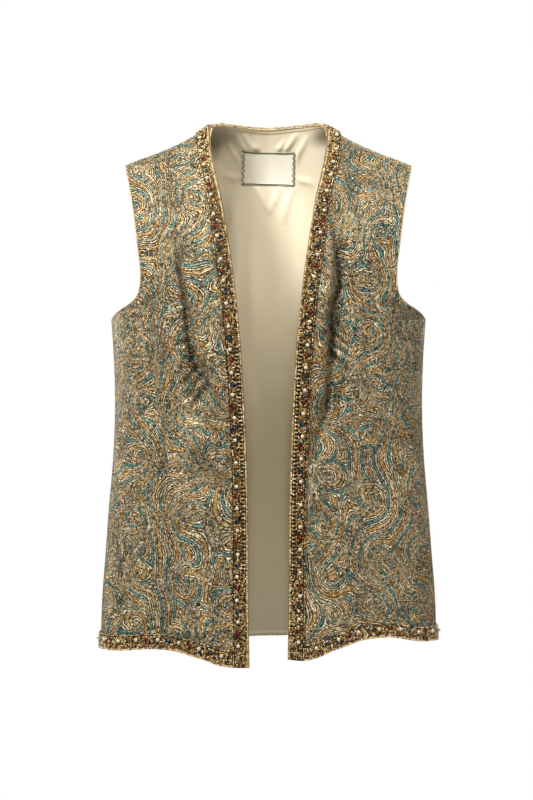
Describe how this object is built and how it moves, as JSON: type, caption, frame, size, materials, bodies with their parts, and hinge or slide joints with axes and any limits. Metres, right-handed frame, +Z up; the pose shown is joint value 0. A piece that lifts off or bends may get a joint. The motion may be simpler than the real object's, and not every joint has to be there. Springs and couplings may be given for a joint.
{
  "type": "waistcoat",
  "caption": "Open-front sleeveless waistcoat in swirl brocade with a satin back lining and beaded braid round the edges, in its filled-out form.",
  "frame": {"origin": "midway between the two shoulder seams, level with the side neck points, where the wearer's shoulders hold the garment", "axes": "+Z up the body, -Y towards the front opening, +X towards the wearer's left"},
  "size_m": [0.4426, 0.2198, 0.6914],
  "materials": {
    "brocade": "metallic brocade with swirling bands of copper gold and teal on a silver cream ground",
    "satin_lining": "cream satin",
    "beaded_braid": "gilt braid sewn with small glass beads, pearl beads and coloured stones",
    "woven_label": "plain woven label"
  },
  "bodies": {
    "root": {"front_right": "brocade", "front_left": "brocade", "back": "brocade", "back_lining": "satin_lining", "trim_front_right": "beaded_braid", "trim_front_left": "beaded_braid", "trim_neck": "beaded_braid", "trim_hem_right": "beaded_braid", "trim_hem_left": "beaded_braid", "trim_hem_back": "beaded_braid", "label": "woven_label"}
  },
  "joints": []
}
